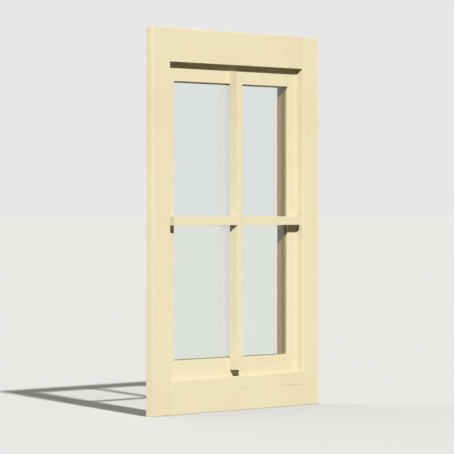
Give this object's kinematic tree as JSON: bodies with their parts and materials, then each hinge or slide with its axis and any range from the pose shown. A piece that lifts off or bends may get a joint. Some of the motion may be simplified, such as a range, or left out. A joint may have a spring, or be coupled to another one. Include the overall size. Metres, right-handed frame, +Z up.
{
  "type": "fixed wooden window",
  "caption": "Fixed wooden window for a timber wall: rebated frame, flat painted casing boards and a cross of glazing bars over one pane.",
  "frame": {"origin": "middle of the strip on the back of the bottom casing board that bears on the wall", "axes": "+Z up, +Y from outdoors through the wall into the room, +X to the right as seen from outdoors"},
  "size_m": [0.7, 0.055, 0.87],
  "materials": {
    "painted_casing": "ivory paint on planed softwood, satin, weathered",
    "painted_frame": "ivory paint outside, bare softwood in the wall and the room",
    "painted_bars": "ivory paint on planed softwood, satin",
    "bare_wood": "unpainted softwood, planed",
    "clear_glass": "clear float glass",
    "seal": "matt sealing strip",
    "setting_block": "matt hard rubber",
    "steel_pin": "dull bright steel"
  },
  "bodies": {
    "root": {"casing_head": "painted_casing", "casing_bottom": "painted_casing", "casing_left": "painted_casing", "casing_right": "painted_casing", "frame_head": "painted_frame", "frame_bottom": "painted_frame", "frame_left": "painted_frame", "frame_right": "painted_frame", "glazing_bar_upright": "painted_bars", "glazing_bar_level": "painted_bars", "bead_head": "bare_wood", "bead_bottom": "bare_wood", "bead_left": "bare_wood", "bead_right": "bare_wood", "glass_pane": "clear_glass", "outer_seal": "seal", "inner_seal": "seal", "setting_block_left": "setting_block", "setting_block_right": "setting_block"}
  },
  "joints": []
}
